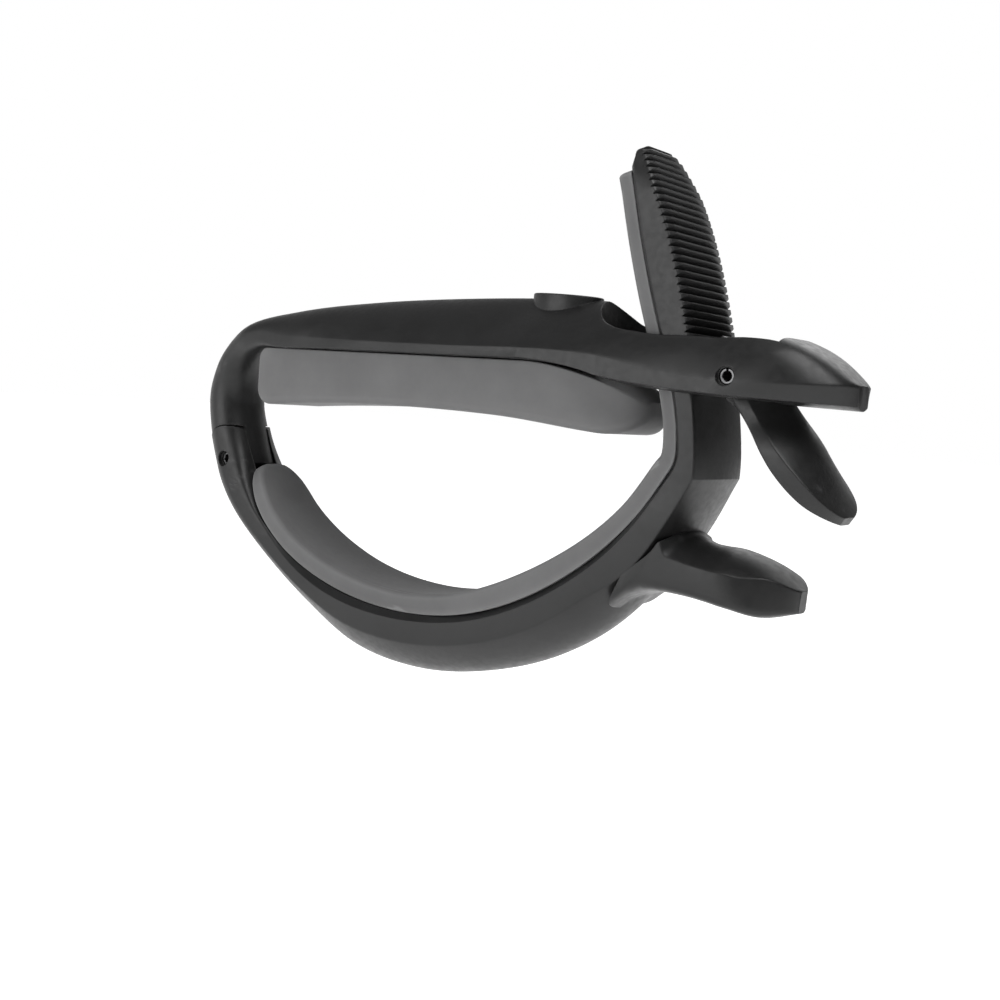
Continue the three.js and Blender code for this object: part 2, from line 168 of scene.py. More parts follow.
lamp("front_lamp", (-0.26, -0.56, 0.17), 0.42, 1.6)
lamp("high_lamp", (0.26, -0.12, 0.52), 0.45, 3.4)
lamp("back_lamp", (-0.05, 0.5, 0.36), 0.4, 0.8)
bpy.context.scene.view_settings.view_transform = "Standard"


# The bar. One moulding in black glass-filled nylon: a straight bar with a crowned top and flat
# sides, bent down at one end into the leg that carries the hinge tongue, and blunt at the tail.
MM = 0.001
joints = {joint["name"]: joint for joint in frame["joints"]}
HINGE = np.array(joints["jaw_hinge"]["pos_m"])[[0, 2]] / MM
PIVOT = np.array(joints["lever_pivot"]["pos_m"])[[0, 2]] / MM
PIN_R = 0.8
PIN_CLEAR = 0.06
BORE_R = 1.0
BAR_HALF = 7.5
TAIL_START = 40.5
TAIL_END = 50.8
TONGUE_HALF = 1.85
CHEEK_R = 4.3
PARTING = 0.13
SLOT_HALF = 5.7
SLOT_ROUND = SLOT_HALF * 1.1
LEVER_SLOT_HALF = 4.6
SLOT_FRONT = 21
SLOT_WIDE_END = 37
SLOT_BACK = 43.6
LEDGE_X = 15.6
LEDGE_LONG, LEDGE_WIDE = 4.3, 3
LEDGE_FALL = 0.035
TAIL_THIN = 0.17
EASE = 0.15
DRILL_HALF = 12
CUT_HALF = 10


def smooth(pairs):
    """A gentle function through (place, value) pairs."""
    places, values = np.array(pairs, float).T

    def at(place):
        i = int(np.clip(np.searchsorted(places, place, side="right") - 1, 0, len(places) - 2))
        share = np.clip((place - places[i]) / (places[i + 1] - places[i]), 0, 1)
        return values[i] + (values[i + 1] - values[i]) * share * share * (3 - 2 * share)

    return at


def curve(points):
    """A flowing line through points in X and Z: its place at any share from 0 to 1."""
    knots = np.array(points, float)
    knots = np.vstack([2 * knots[0] - knots[1], knots, 2 * knots[-1] - knots[-2]])

    def at(share):
        run = np.clip(share, 0, 1) * (len(knots) - 3)
        i = min(int(run), len(knots) - 4)
        w = run - i
        a, b, c, d = knots[i:i + 4]
        ab, bc, cd = (max(np.linalg.norm(q - p) ** 0.5, 1e-6) for p, q in ((a, b), (b, c), (c, d)))
        leave = ((b - a) / ab - (c - a) / (ab + bc) + (c - b) / bc) * bc
        arrive = ((c - b) / bc - (d - b) / (bc + cd) + (d - c) / cd) * bc
        bend = (2 * b - 2 * c + leave + arrive, -3 * b + 3 * c - 2 * leave - arrive, leave, b)
        return ((bend[0] * w + bend[1]) * w + bend[2]) * w + bend[3]

    return at


def rounded(place, start, end):
    """The half width of a round end: 1 up to start, falling as a quarter circle to 0 at end."""
    return math.sqrt(max(0, 1 - max(0, (place - start) / (end - start)) ** 2))


def half_section(tall, half, foot, brow, belly=4.0, crisp=1.0, keel=0.0, bevel=0.0, full=2.0):
    """One side of a moulded section, from its bottom middle to its top middle, as (up, out).

    The belly lies below foot, the side is flat from foot to brow, and the crown rises above brow.
    The belly is round, squarer as belly grows, a shallow keel with a clear corner at keel 1, or a
    flat with its corner cut off by bevel. The crown is round at crisp 0, has a clear corner at
    crisp 1, and is flatter on top as full grows.
    """
    turn = np.linspace(0, math.pi / 2, 15)
    low = np.column_stack([foot * (1 - np.cos(turn) ** (2 / belly)), half * np.sin(turn) ** (2 / belly)])
    out = np.linspace(0, 1, 15)
    low = (1 - keel) * low + keel * np.column_stack([foot * out ** 2, half * out])
    if bevel > 0:
        flat = np.column_stack([np.zeros(10), np.linspace(0, half - bevel, 10)])
        slope = np.linspace(0, bevel, 6)[1:]
        cut = np.vstack([flat, np.column_stack([slope, half - bevel + slope])])
        low = low + (cut - low) * min(1, bevel / 0.5)

    def crown(s):
        rise = crisp * (1 - (1 - s) ** full) + (1 - crisp) * np.sin(s * math.pi / 2)
        reach = crisp * (1 - s) + (1 - crisp) * np.cos(s * math.pi / 2)
        return np.column_stack([brow + (tall - brow) * rise, half * reach])

    first = min(0.3, EASE / half)
    high = crown(np.linspace(first, 1, 18))
    ease = min(EASE, 0.8 * max(brow - low[-1][0], 0.02))
    begin, corner, finish = np.array([brow - ease, half]), np.array([brow, half]), high[0]
    w = np.linspace(0, 1, 5)[:-1, None]
    edge = (1 - w) ** 2 * begin + 2 * w * (1 - w) * corner + w * w * finish
    return np.vstack([low, edge, high])


def ring(low, high, side):
    """A closed ring of points in space from one side of a section, laid from low to high."""
    low, high = np.asarray(low, float), np.asarray(high, float)
    along = (high - low) / np.linalg.norm(high - low)
    both = np.vstack([side, (side * (1, -1))[-2:0:-1]])
    place = low + both[:, :1] * along
    return np.column_stack([place[:, 0], both[:, 1], place[:, 1]])


def skin(name, rings):
    """A closed mesh through rings of points in millimetres."""
    count = len(rings[0])
    faces = []
    for i in range(len(rings) - 1):
        for j in range(count):
            k = (j + 1) % count
            faces.append((i * count + j, i * count + k, (i + 1) * count + k, (i + 1) * count + j))
    faces.append(tuple(range(count))[::-1])
    faces.append(tuple(range((len(rings) - 1) * count, len(rings) * count)))
    mesh = bpy.data.meshes.new(name)
    mesh.from_pydata((np.concatenate(rings) * MM).tolist(), [], faces)
    piece = bpy.data.objects.new(name, mesh)
    bpy.context.scene.collection.objects.link(piece)
    turn_out(mesh)
    return piece


def turn_out(mesh):
    """Turns the faces of a closed mesh outwards."""
    work = bmesh.new()
    work.from_mesh(mesh)
    bmesh.ops.recalc_face_normals(work, faces=work.faces)
    work.to_mesh(mesh)
    work.free()


def slab(name, outline, half, y=0.0):
    """A flat plate: an outline in X and Z, from y - half to y + half."""
    return skin(name, [np.column_stack([p[:, 0], np.full(len(p), level), p[:, 1]])
                       for p in [np.array(outline, float)] for level in (y - half, y + half)])


def disc(centre, radius, count=64):
    """The outline of a round plate in X and Z."""
    a = np.linspace(0, 2 * math.pi, count, endpoint=False)
    return np.column_stack([centre[0] + radius * np.cos(a), centre[1] + radius * np.sin(a)])


def carve(body, tool, how="DIFFERENCE"):
    """Cuts a tool out of a body, or joins it on, and clears the tool away."""
    step = body.modifiers.new("carve", "BOOLEAN")
    step.operation = how
    step.solver = "MANIFOLD"
    step.object = tool
    bpy.context.view_layer.update()
    made = bpy.data.meshes.new_from_object(body.evaluated_get(bpy.context.evaluated_depsgraph_get()))
    body.modifiers.clear()
    body.data = made
    bpy.data.objects.remove(tool)


def pin_hole(body, centre, mouth_half=None, depth=0.6):
    """A pin hole right through, with a wider mouth on each side when mouth_half says where it is."""
    carve(body, slab("drill", disc(centre, PIN_R + PIN_CLEAR), DRILL_HALF))
    for side in (-1, 1) if mouth_half else ():
        carve(body, slab("drill", disc(centre, BORE_R), depth, side * mouth_half))


bar_under = curve([
    (-30.6, -9.1), (-32, -5.6), (-33.4, -1.1), (-32.9, 2.6), (-28.6, 5.5), (-20, 6.02),
    (-9, 6.08), (4, 6.08), (15, 6), (22, 5.1), (27, 3.7), (33, 3.3), (42, 3.1), (TAIL_END, 2.9),
])
bar_over = curve([
    (-38.1, -8.2), (-39.5, -4.4), (-40.0, 0.4), (-38.1, 4.6), (-32.8, 9), (-24, 11.1),
    (-11, 12.5), (4, 13.2), (16, 13.3), (23, 13), (28, 12.3), (34, 11.4), (40, 10.7),
    (44.5, 9.4), (48, 7.6), (TAIL_END, 5.4),
])
bar_half = smooth([(-41, 3.8), (-36, 4.2), (-30, 5.2), (-18, 6.4), (-4, 7.1), (14, BAR_HALF)])
leg_half = smooth([(-10, 4.1), (-1, 3.75), (5.5, 4.5)])
leg_end = smooth([(0, 0), (5.5, 1)])
band_low = [
    (-24, 6.3), (0, 6.3), (14, 6.1), (21.5, 5.4), (34.4, 4.75), (42.8, 3.9), (TAIL_END, 3.3),
]
band_high = [
    (-24, 7.8), (-10, 8.3), (6, 8.6), (19.9, 8.3), (29.7, 7.7), (38.9, 6.75), (45.8, 5.95),
    (TAIL_END, 5.2),
]
bar_belly = smooth([(-36, 2), (-24, 4), (51, 5)])
bar_crisp = smooth([(-30, 0), (-4, 0.6), (12, 1)])
bar_keel = smooth([(17, 0), (23, 1)])
bar_full = smooth([(8, 1.4), (20, 1.8), (27, 3), (34, 4.4), (41, 5.4), (48, 4)])


def level_line(points):
    """The height of a flowing line at any place along X."""
    run = np.array([curve(points)(share) for share in np.linspace(0, 1, 160)])
    return lambda x: float(np.interp(x, run[:, 0], run[:, 1]))


def bar_rings():
    """The bar's sections, from the hinge end to the tail, closer together where the tail rounds."""
    rings = []
    foot_line, brow_line = level_line(band_low), level_line(band_high)
    straight = smooth([(-34, 0), (-22, 1)])
    long_run = np.linspace(0, 0.9, 130)
    tail_run = 0.9 + 0.1 * np.sin(np.linspace(0.04, math.pi / 2, 26))
    for share in np.concatenate([long_run, tail_run]):
        low, high = bar_under(share), bar_over(share)
        x = (low[0] + high[0]) / 2
        bend = leg_end(low[1]) if x < 0 else 1
        plan = (1 - bend) * leg_half(low[1]) + bend * bar_half(x)
        nose = max(rounded(x, TAIL_START, TAIL_END + 0.15), TAIL_THIN)
        tall = np.linalg.norm(high - low)
        level = straight(x)
        foot = (1 - level) * 0.5 * tall + level * max(foot_line(x) - low[1], 0.04 * tall)
        brow = (1 - level) * 0.5 * tall + level * min(brow_line(x) - low[1], 0.985 * tall)
        brow = max(brow, foot + 0.02)
        side = half_section(tall, plan * nose, foot, brow, bar_belly(x), bar_crisp(x), bar_keel(x),
                            full=bar_full(x))
        rings.append(ring(low, high, side))
    return rings


def fork_room():
    """The room beside the tongue that the jaw's two cheeks turn in."""
    reach = CHEEK_R + PARTING
    room = slab("room", disc(HINGE, reach, 96), CUT_HALF)
    corner = [(HINGE[0], HINGE[1] - 10), (HINGE[0] + 10, HINGE[1] - 10),
              (HINGE[0] + 10, HINGE[1] + reach), (HINGE[0], HINGE[1] + reach)]
    carve(room, slab("tool", corner, CUT_HALF + 0.2), "UNION")
    middle = [(-60, -30), (0, -30), (0, 5), (-60, 5)]
    carve(room, slab("tool", middle, TONGUE_HALF))
    return room


def slot_cutter():
    """The way through the bar: round in front, wide for the arm, narrower behind for the lever."""
    a = np.linspace(math.pi / 2, 1.5 * math.pi, 40)
    front = SLOT_FRONT + SLOT_ROUND + SLOT_ROUND * np.cos(a)
    plan = np.column_stack([front, SLOT_HALF * np.sin(a)])
    plan = np.vstack([plan, [
        (SLOT_WIDE_END, -SLOT_HALF), (SLOT_BACK, -LEVER_SLOT_HALF),
        (SLOT_BACK, LEVER_SLOT_HALF), (SLOT_WIDE_END, SLOT_HALF)]])
    return skin("tool", [np.column_stack([plan, np.full(len(plan), z)]) for z in (0.0, 20.0)])


def pick_ledge():
    """The low raised ledge in front of the slot that holds a pick."""
    a = np.linspace(0, 2 * math.pi, 72, endpoint=False)
    rings = []
    for z, inset in [(10.9, 0), (13.5, 0), (13.62, 0.05), (13.67, 0.16)]:
        x = (LEDGE_LONG - inset) * np.cos(a)
        y = (LEDGE_WIDE - inset) * np.sin(a)
        rings.append(np.column_stack([LEDGE_X + x, y, z - LEDGE_FALL * x]))
    return skin("tool", rings)


def finish_shell(piece, material, sharp=26.0):
    """One finish all over, and smooth shading that breaks at the real corners."""
    piece.data.materials.clear()
    piece.data.materials.append(material)
    piece.data.polygons.foreach_set("material_index", [0] * len(piece.data.polygons))
    piece.data.shade_smooth()
    piece.data.set_sharp_from_angle(angle=math.radians(sharp))


def black_nylon():
    """Satin black moulded nylon: spark-textured, slightly uneven, with edges rubbed a little paler."""
    made = bpy.data.materials.new("black_nylon")
    made.use_nodes = True
    nodes, links = made.node_tree.nodes, made.node_tree.links
    shader = nodes["Principled BSDF"]
    shader.inputs["Specular IOR Level"].default_value = 0.32
    place = nodes.new("ShaderNodeTexCoord")

    def noise(scale, detail):
        made_noise = nodes.new("ShaderNodeTexNoise")
        made_noise.inputs["Scale"].default_value = scale
        made_noise.inputs["Detail"].default_value = detail
        links.new(place.outputs["Object"], made_noise.inputs["Vector"])
        return made_noise

    def ramp(source, stops):
        made_ramp = nodes.new("ShaderNodeValToRGB")
        for element, (at, level) in zip(made_ramp.color_ramp.elements, stops):
            element.position = at
            element.color = (level, level, level * 1.01, 1)
        links.new(source, made_ramp.inputs["Fac"])
        return made_ramp

    flow = ramp(noise(140, 3).outputs["Fac"], [(0.3, 0.010), (0.7, 0.014)])
    worn = ramp(nodes.new("ShaderNodeNewGeometry").outputs["Pointiness"], [(0.52, 0), (0.68, 1)])
    rubbed = nodes.new("ShaderNodeMix")
    rubbed.data_type = "RGBA"
    rubbed.inputs["B"].default_value = (0.03, 0.03, 0.0305, 1)
    links.new(flow.outputs["Color"], rubbed.inputs["A"])
    links.new(worn.outputs["Color"], rubbed.inputs["Factor"])
    links.new(rubbed.outputs["Result"], shader.inputs["Base Color"])
    satin = ramp(noise(1300, 4).outputs["Fac"], [(0.35, 0.33), (0.65, 0.43)])
    links.new(satin.outputs["Color"], shader.inputs["Roughness"])
    edge = nodes.new("ShaderNodeBevel")
    edge.samples = 4
    edge.inputs["Radius"].default_value = 0.00016
    grain = nodes.new("ShaderNodeBump")
    grain.inputs["Strength"].default_value = 0.12
    grain.inputs["Distance"].default_value = 0.00003
    links.new(noise(7000, 2).outputs["Fac"], grain.inputs["Height"])
    links.new(edge.outputs["Normal"], grain.inputs["Normal"])
    links.new(grain.outputs["Normal"], shader.inputs["Normal"])
    return made


NYLON = black_nylon()

bar = skin("bar_moulding", bar_rings())
carve(bar, fork_room())
carve(bar, slab("tool", disc(HINGE, CHEEK_R - 1.9, 72), TONGUE_HALF), "UNION")
carve(bar, pick_ledge(), "UNION")
carve(bar, slot_cutter())
pin_hole(bar, HINGE)
pin_hole(bar, PIVOT, BAR_HALF)
finish_shell(bar, NYLON)
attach(bar, "bar")
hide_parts("upper_arm")


# The string pad. A long block of soft grey rubber pushed up under the bar: its contact face is
# arched very slightly, its edges are round, and its tail end is a full round nose.
PAD_HALF = 6.4
PAD_HEEL_HALF = 5.3
PAD_ARCH_R = 305
PAD_TOP = 6.03
PAD_FALL = 3.3
PAD_FALL_START = 14.5
PAD_TOE_START = 23.2


def grey_rubber():
    """Matt grey rubber: faintly mottled, with a fine dry grain, and a painted highlight: its rounded
    edges painted paler.
    """
    made = bpy.data.materials.new("grey_rubber")
    made.use_nodes = True
    nodes, links = made.node_tree.nodes, made.node_tree.links
    shader = nodes["Principled BSDF"]
    shader.inputs["Sheen Weight"].default_value = 0.06
    shader.inputs["Specular IOR Level"].default_value = 0.35
    place = nodes.new("ShaderNodeTexCoord")
    levels = {}
    for name, scale, detail in [("mottle", 260, 4), ("dry", 1600, 3), ("grain", 6500, 3)]:
        levels[name] = nodes.new("ShaderNodeTexNoise")
        levels[name].inputs["Scale"].default_value = scale
        levels[name].inputs["Detail"].default_value = detail
        links.new(place.outputs["Object"], levels[name].inputs["Vector"])
    tone = nodes.new("ShaderNodeValToRGB")
    tone.color_ramp.elements[0].position = 0.3
    tone.color_ramp.elements[0].color = (0.102, 0.102, 0.103, 1)
    tone.color_ramp.elements[1].position = 0.7
    tone.color_ramp.elements[1].color = (0.117, 0.117, 0.118, 1)
    links.new(levels["mottle"].outputs["Fac"], tone.inputs["Fac"])
    # Painted highlight: the rounded edges, found by pointiness, are painted paler than the rubber.
    edge = nodes.new("ShaderNodeMapRange")
    edge.inputs["From Min"].default_value = 0.5
    edge.inputs["From Max"].default_value = 0.58
    links.new(nodes.new("ShaderNodeNewGeometry").outputs["Pointiness"], edge.inputs["Value"])
    pale = nodes.new("ShaderNodeMix")
    pale.data_type = "RGBA"
    pale.inputs["B"].default_value = (0.175, 0.175, 0.176, 1)
    links.new(edge.outputs["Result"], pale.inputs["Factor"])
    links.new(tone.outputs["Color"], pale.inputs["A"])
    links.new(pale.outputs["Result"], shader.inputs["Base Color"])
    dry = nodes.new("ShaderNodeMapRange")
    dry.inputs["To Min"].default_value = 0.62
    dry.inputs["To Max"].default_value = 0.82
    links.new(levels["dry"].outputs["Fac"], dry.inputs["Value"])
    links.new(dry.outputs["Result"], shader.inputs["Roughness"])
    grain = nodes.new("ShaderNodeBump")
    grain.inputs["Strength"].default_value = 0.2
    grain.inputs["Distance"].default_value = 0.00003
    links.new(levels["grain"].outputs["Fac"], grain.inputs["Height"])
    links.new(grain.outputs["Normal"], shader.inputs["Normal"])
    return made


RUBBER = grey_rubber()


def soft_side(tall, half, low_r, high_r):
    """One side of a soft section with two round corners, from the bottom middle to the top middle."""
    a = np.linspace(0, math.pi / 2, 9)
    low_r, high_r = min(low_r, 0.48 * tall, 0.9 * half), min(high_r, 0.48 * tall, 0.9 * half)
    low = np.column_stack([low_r - low_r * np.cos(a), half - low_r + low_r * np.sin(a)])
    high = np.column_stack([tall - high_r + high_r * np.sin(a), half - high_r + high_r * np.cos(a)])
    floor_line = np.column_stack([np.zeros(6), np.linspace(0, half - low_r, 7)[:-1]])
    wall = np.linspace(low[-1], high[0], 6)[1:-1]
    top_line = np.column_stack([np.full(6, tall), np.linspace(half - high_r, 0, 7)[1:]])
    return np.vstack([floor_line, low, wall, high, top_line])


def string_pad_rings():
    """The string pad's sections, from its heel by the leg to its toe at the tail."""
    (left, _, _), (right, _, _) = (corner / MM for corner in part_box("string_pad"))
    rings = []
    for a in np.linspace(0.03, math.pi - 0.03, 90):
        x = left + (right - left) * (1 - math.cos(a)) / 2
        arch = x * x / (2 * PAD_ARCH_R)
        heel = rounded(-x, -left - 2.4, -left + 0.02)
        toe = rounded(x, PAD_TOE_START, right + 0.02)
        taper = max(rounded(x, 17, right + 0.3), 0.1)
        fall = max(0, (x - PAD_FALL_START) / (right - PAD_FALL_START)) ** 1.7
        top = PAD_TOP - PAD_FALL * fall
        low = -arch - 0.35 * smooth([(10, 0), (24.5, 1)])(x) + 2.3 * (1 - heel) + 3.0 * (1 - toe)
        high = top - 1.6 * (1 - heel) - 0.4 * (1 - toe)
        plan = np.interp(x, [left, left + 26], [PAD_HEEL_HALF, PAD_HALF])
        plan = plan * min(0.8 + 0.2 * heel, taper ** 0.8)
        high_r = 0.15 + 1.2 * (1 - min(heel, toe))
        rings.append(ring((x, low), (x, high), soft_side(high - low, plan, 1.0, high_r)))
    return rings


string_pad = skin("string_rubber", string_pad_rings())
finish_shell(string_pad, RUBBER, 40)
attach(string_pad, "bar")
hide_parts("string_pad")


# The jaw. A second black moulding: two cheeks on the hinge pin, a deep curved back with a finger
# paddle, and above it the arm, an arc about the hinge pin with ratchet teeth across its back.
ARM_HALF = 5.35
SIDE_HALF = 5.8
CHEEK_HALF = 4.1
ARM_OUT_R = 70.5
TOOTH_DEPTH = 0.85
TOOTH_FIRST = 12.6
TOOTH_STEP = 0.673
TOOTH_COUNT = 30
TEETH_START = 12.4
ARM_START = 3.0
ARM_NARROWS = 27.9
ARM_SLANTS = 30.8
ARM_DROPS = 32.3
ARM_TIP = 33.3
PADDLE_HALF = 5.6
SEAT = [
    (-30.7, -8.8), (-28.9, -12.1), (-26.2, -15.6), (-21.6, -19.1), (-15.2, -22), (-8, -23.7),
    (0, -24.1), (8, -23), (16, -20), (23.3, -15.4), (29, -10),
]


def polar(radius, degrees):
    """A place at a radius from the hinge pin and an angle above the bar's line."""
    a = math.radians(degrees)
    return np.array([HINGE[0] + radius * math.cos(a), HINGE[1] + radius * math.sin(a)])


tooth_r = smooth([(14, 71), (28, 71.6)])
arm_inside = level_line([(2, 67.9), (9, 67.8), (18, 67), (24, 67.5), (28, 68.5), (33, 70)])


def kink_inside(degrees):
    """The arm's inside, drawn in where it runs round into the jaw."""
    return arm_inside(degrees) - 1.3 * max(0, (5.6 - degrees) / 2.6) ** 2


jaw_inner = curve([(-33.4, -0.8), (-32.3, -5), *SEAT, polar(kink_inside(ARM_START), ARM_START)])
jaw_outer = curve([
    (-40.2, -0.8), (-39.5, -4.6), (-38.1, -8.4), (-36.4, -11.5), (-32.9, -15.6), (-26.9, -20.5),
    (-19.2, -25.8), (-10.8, -30.1), (-1, -31.3), (9, -29.8), (18, -26.5), (25.5, -21.4),
    (32.2, -12.8), polar(ARM_OUT_R, ARM_START),
])
jaw_half = smooth([
    (0.1, CHEEK_HALF), (0.3, 4.8), (0.55, 6.2), (0.74, SIDE_HALF), (0.93, SIDE_HALF), (1, ARM_HALF),
])
jaw_foot = smooth([(0.15, 0.5), (0.27, 0.3), (0.4, 0.12)])
jaw_brow = smooth([(0.2, 0.5), (0.5, 0.45), (0.83, 0.5), (0.92, 0.8), (1, 0.86)])
jaw_belly = smooth([(0.05, 2.4), (0.35, 6)])
jaw_crisp = smooth([(0.3, 0), (0.5, 0.9), (0.75, 1)])
jaw_bevel = smooth([(0.25, 0), (0.45, 0.75), (0.85, 0.75), (0.97, 0.5)])


def arm_side(tall, half, lean):
    """One side of the arm's section: bevelled inside, flat at the side, rounded over to the teeth."""
    steps = [(0, 0), (0, half - 0.5), (0.5, half), (tall - 0.5, half), (tall, half - 1.05), (tall, 0)]
    side = []
    for (start, stop), count in zip(zip(steps, steps[1:]), [9, 6, 6, 7, 8]):
        side.append(np.linspace(start, stop, count, endpoint=False))
    side = np.vstack([*side, steps[-1:]])
    side[1:-1] = (side[:-2] + 4 * side[1:-1] + side[2:]) / 6
    side[:, 1] *= 1 - lean * np.clip(side[:, 0] / tall, 0, 1)
    return side


def jaw_rings():
    """The jaw's sections, from the hinge round the back and on up the arm to its tip."""
    rings = []
    for share in np.linspace(0, 1, 150):
        low, high = jaw_inner(share), jaw_outer(share)
        tall = np.linalg.norm(high - low)
        foot = jaw_foot(share) * tall
        brow = max(jaw_brow(share) * tall, foot + 0.05)
        side = half_section(tall, jaw_half(share), foot, brow, jaw_belly(share), jaw_crisp(share),
                            bevel=jaw_bevel(share))
        rings.append(ring(low, high, side))
    plain_run = np.arange(ARM_START + 0.3, TEETH_START, 0.5)
    for a in np.concatenate([plain_run, np.linspace(TEETH_START, ARM_TIP, 70)]):
        toothed = smooth([(9.5, 0), (TEETH_START, 1)])(a)
        outer = ARM_OUT_R + (tooth_r(a) - ARM_OUT_R) * toothed
        inner = kink_inside(a)
        tip = max(0, (a - ARM_SLANTS) / (ARM_TIP - ARM_SLANTS))
        outer -= 0.35 * max(0, (a - ARM_DROPS) / (ARM_TIP - ARM_DROPS)) ** 2
        cap = max(0, (a - ARM_NARROWS) / (ARM_TIP - ARM_NARROWS))
        half = ARM_HALF - 0.9 * cap ** 2
        tall = outer - inner
        plain = half_section(tall, half, 0.14 * tall, 0.86 * tall, bevel=0.5)
        side = (1 - toothed) * plain + toothed * arm_side(tall, half, 0.4 * cap)
        rings.append(ring(polar(inner, a - 1.5 * tip), polar(outer, a), side))
    return rings


def tooth_cutter():
    """A comb that cuts all the ratchet grooves at once."""
    outline = []
    for i in range(TOOTH_COUNT):
        a = TOOTH_FIRST + i * TOOTH_STEP
        outline.append(polar(tooth_r(a) - TOOTH_DEPTH, a))
        outline.append(polar(tooth_r(a) + 0.02, a + 0.55 * TOOTH_STEP))
    last = TOOTH_FIRST + TOOTH_COUNT * TOOTH_STEP
    outline += [polar(ARM_OUT_R + 3, a) for a in np.linspace(last, TOOTH_FIRST - 0.2, 24)]
    return slab("tool", outline, 9)


paddle_under = curve([
    (26.6, -19.7), (28.6, -18.1), (31.5, -17.25), (36, -17.3), (40.3, -17.9), (43.3, -18.3),
    (46.2, -17.6),
])
paddle_over = curve([
    (28.6, -15.4), (31.8, -12.7), (33.3, -10.7), (34.2, -11.2), (35.5, -11.7), (37, -11.85),
    (39.4, -11.95), (43.3, -13.1), (46.4, -15.3),
])
paddle_half = smooth([(24, SIDE_HALF - 0.02), (28, SIDE_HALF + 0.01), (38, PADDLE_HALF)])
paddle_brow = smooth([(30, 0.97), (33.5, 0.66), (41, 0.64), (46.8, 0.97)])
paddle_foot = smooth([(27, 0.6), (30, 0.46), (33.5, 0.25), (37, 0.22)])


def paddle_rings():
    """The finger rest that stands out from the jaw's back, with a fillet where it meets it."""
    rings = []
    for share in np.sin(np.linspace(0, math.pi / 2, 60)):
        low, high = paddle_under(share), paddle_over(share)
        x = (low[0] + high[0]) / 2
        half = paddle_half(x) * max(rounded(x, 37.5, 46.35), 0.14)
        tall = np.linalg.norm(high - low)
        side = half_section(tall, half, paddle_foot(x) * tall, min(paddle_brow(x), 0.97) * tall, 3.5)
        rings.append(ring(low, high, side))
    return rings


jaw = skin("jaw_moulding", jaw_rings())
cheeks = skin("cheeks", jaw_rings()[:60])
carve(cheeks, slab("tool", disc(HINGE, CHEEK_R, 96), CUT_HALF), "INTERSECT")
carve(jaw, slab("tool", [(-60, HINGE[1]), (-20, HINGE[1]), (-20, 10), (-60, 10)], CUT_HALF))
carve(jaw, cheeks, "UNION")
carve(jaw, tooth_cutter())
carve(jaw, skin("paddle", paddle_rings()), "UNION")
fork = slab("tool", disc(HINGE, CHEEK_R + PARTING, 96), TONGUE_HALF + PARTING)
throat = [(-45, HINGE[1]), (-26, HINGE[1]), (-26, 0), (-45, 0)]
carve(fork, slab("throat", throat, TONGUE_HALF + PARTING), "UNION")
carve(jaw, fork)
pin_hole(jaw, HINGE, CHEEK_HALF, 0.5)
finish_shell(jaw, NYLON, 20)
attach(jaw, "jaw")
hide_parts("lower_jaw")


# The neck pad. A strip of the same grey rubber bedded in the jaw's inner curve and up the arm: a
# round spoon-like end by the hinge, a soft rim, and a fine line moulded just inside the rim.
BED = 0.06
PAD_START = 0.012
RIM_R = 0.55
LINE_INSET = 1.0
LINE_HALF = 0.16
LINE_DEPTH = 0.13
pad_seat = [*SEAT] + [polar(kink_inside(a), a) for a in (ARM_START, 4.5, 7, 10, 15, 20, 25, 29, 31)]
pad_line = curve(pad_seat)
pad_tall = smooth([(0, 2.2), (0.3, 2.3), (0.42, 2.75), (0.54, 2.15), (0.7, 1.75)])
pad_half = smooth([(0, 3.9), (0.2, 5), (0.4, 5.55), (0.6, 5.1), (0.7, 4.8)])


def rim_side(tall, half, line):
    """One side of the pad's section: square foot, round rim and a fine line just inside it."""
    rim = min(RIM_R, 0.45 * tall, 0.5 * half)
    a = np.linspace(0, math.pi / 2, 9)
    round_rim = np.column_stack([tall - rim + rim * np.sin(a), half - rim + rim * np.cos(a)])
    foot = np.column_stack([np.zeros(6), np.linspace(0, half - 0.06, 6)])
    wall = np.linspace((0.06, half), (tall - rim, half), 5, endpoint=False)
    inset = min(LINE_INSET, 0.6 * half)
    lip = tall - 0.02
    dip = [(lip, half - inset + LINE_HALF), (tall - line, half - inset), (lip, half - inset - LINE_HALF)]
    face = np.column_stack([np.full(9, tall), np.linspace(half - inset - 0.3, 0, 9)])
    return np.vstack([foot, wall, round_rim, dip, face])


def neck_pad_rings():
    """The neck pad's sections, from its round end by the hinge to its thin end up the arm."""
    rings = []
    for share in np.linspace(0, 1, 170):
        crowded = 0.8 * share + 0.2 * (1 - math.cos(math.pi * share)) / 2
        t = PAD_START + (1 - PAD_START) * crowded
        end = min(1, (t - PAD_START) / 0.075, (1 - t) / 0.02)
        dome = math.sqrt(max(0, 1 - (1 - end) ** 2))
        along = pad_line(min(1, t + 0.003)) - pad_line(max(0, t - 0.003))
        normal = np.array([-along[1], along[0]]) / np.linalg.norm(along)
        low = pad_line(t) + BED * normal
        tall = (pad_tall(t) - BED) * (0.5 + 0.5 * dome)
        half = pad_half(t) * (0.3 + 0.7 * dome)
        side = rim_side(tall, half, LINE_DEPTH * smooth([(0.25, 0), (0.35, 1)])(t))
        rings.append(ring(low, low + tall * normal, side))
    return rings


neck_pad = skin("neck_rubber", neck_pad_rings())
finish_shell(neck_pad, RUBBER, 40)
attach(neck_pad, "jaw")
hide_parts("neck_pad")


